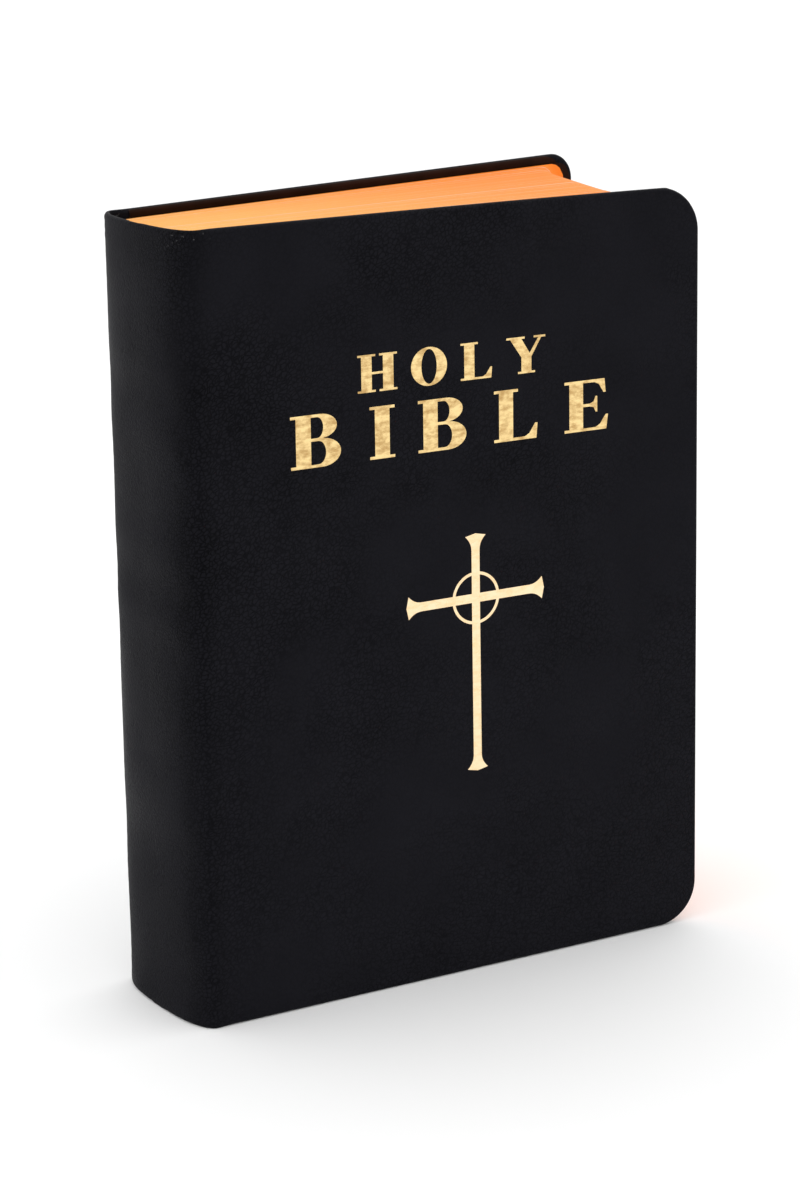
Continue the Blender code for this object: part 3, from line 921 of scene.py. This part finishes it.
def gold_foil(name, dark, bright):
    """Stamped gold foil: bright metal, brushed, mottled where it took the leather's grain."""
    look = Look(name, 0.3, metallic=1.0)
    brushed = look.noise(900, 4.0, 0.6, look.stretched((0.35, 1, 1), (0, 0.5, 0)))
    patches = look.noise(420, 3.0, 0.6)
    tone = look.between(look.math("ADD", brushed, look.math("MULTIPLY", patches, 0.8)), 0.62, 1.12)
    look.colour(look.mix(tone, dark, bright))
    look.bump(look.math("ADD", brushed, look.voronoi(1250)), 0.00003, 0.5)
    look.roughness(look.between(patches, 0.3, 0.7, 0.24, 0.42))
    return look.material


def grey_card():
    look = Look("grey_card", 0.9, specular=0.2)
    fibres = look.noise(900, 5.0, 0.7, look.stretched((1, 1, 0.3)))
    look.colour(look.mix(look.between(fibres, 0.3, 0.7), (0.20, 0.185, 0.16), (0.33, 0.31, 0.275)))
    look.bump(fibres, 0.00008, 0.6)
    return look.material


def spine_cloth():
    """Open-weave lining cloth, as two crossing sets of threads."""
    look = Look("spine_cloth", 0.95, specular=0.15)
    bands = []
    for direction in ("Y", "Z"):
        wave = look.add("ShaderNodeTexWave", bands_direction=direction)
        wave.inputs["Scale"].default_value = 320
        wave.inputs["Distortion"].default_value = 0.6
        look.put(look.place, wave.inputs["Vector"])
        bands.append(wave.outputs["Fac"])
    weave = look.math("MAXIMUM", *bands)
    look.colour(look.mix(weave, (0.42, 0.39, 0.32), (0.74, 0.71, 0.63)))
    look.bump(weave, 0.00012, 0.8)
    return look.material


def linen_thread():
    look = Look("linen_thread", 0.85, specular=0.2)
    twist = look.add("ShaderNodeTexWave", bands_direction="DIAGONAL")
    twist.inputs["Scale"].default_value = 900
    look.put(look.place, twist.inputs["Vector"])
    look.colour(look.mix(twist.outputs["Fac"], (0.62, 0.57, 0.46), (0.86, 0.83, 0.75)))
    look.bump(twist.outputs["Fac"], 0.00006, 0.8)
    return look.material


def pale_floor():
    look = Look("pale_floor", 0.7, specular=0.2)
    cloud = look.noise(3, 2.0)
    look.colour(look.mix(cloud, (0.97, 0.97, 0.97), (0.98, 0.98, 0.98)))
    return look.material


LEATHERETTE = leatherette()
GILDED_EDGE = gilded_edge()
PAPER = paper()
LINING_PAPER = lining_paper()
TITLE_FOIL = gold_foil("title_foil", (0.54, 0.34, 0.13), (0.96, 0.72, 0.34))
CROSS_FOIL = gold_foil("cross_foil", (0.96, 0.68, 0.38), (1.0, 0.80, 0.52))


def dress_cad_nodes():
    """Gives the CAD nodes that stay in sight their own materials."""
    card = grey_card()
    looks = {"board": card, "inlay": card, "lining": spine_cloth(), "thread": linen_thread()}
    for name, node in frame["nodes"].items():
        for word, look in looks.items():
            if word in name:
                node.data.materials.clear()
                node.data.materials.append(look)


# --- The studio -----------------------------------------------------------------------------------


def area_light(name, place_at, target, size, power):
    light = bpy.data.lights.new(name, "AREA")
    light.shape = "DISK"
    light.size = size
    light.energy = power
    lamp = bpy.data.objects.new(name, light)
    lamp.location = place_at
    lamp.rotation_euler = (Vector(target) - Vector(place_at)).to_track_quat("-Z", "Y").to_euler()
    bpy.context.scene.collection.objects.link(lamp)


def studio():
    scene = bpy.context.scene
    bpy.ops.mesh.primitive_plane_add(size=14, location=(0, 3, cad_low.z))
    floor = bpy.context.object
    floor.name = "floor"
    floor.data.materials.append(pale_floor())
    world = bpy.data.worlds.new("studio")
    world.use_nodes = True
    world.node_tree.nodes["Background"].inputs["Color"].default_value = (1, 1, 1, 1)
    world.node_tree.nodes["Background"].inputs["Strength"].default_value = 1.08
    scene.world = world
    area_light("overhead", (0.1, 0.1, 1.6), (0, 0, 0.1), size=1.6, power=4)
    area_light("left_fill", (-1.5, -0.1, 0.9), (0, 0, 0.12), size=0.8, power=1.2)
    scene.view_settings.view_transform = "Standard"


def camera():
    data = bpy.data.cameras.new("camera")
    data.sensor_width = 36
    data.lens = 93.08
    data.clip_start, data.clip_end = 0.01, 100
    eye = bpy.data.objects.new("camera", data)
    eye.location = (-0.4392, -0.6836, 0.3225)
    eye.rotation_euler = [math.radians(angle) for angle in (74.69, 0.64, -32.91)]
    bpy.context.scene.collection.objects.link(eye)
    bpy.context.scene.camera = eye


def build():
    for side in (FRONT, BACK):
        cover_skin(side)
        endpaper(side)
        flyleaf(side)
    spine_skin()
    chance = np.random.default_rng(7)
    for number in range(2 * SECTIONS_PER_HALF):
        section_pages(number, chance)
    middle_sheet()
    add_foil()
    dress_cad_nodes()
    studio()
    camera()


build()
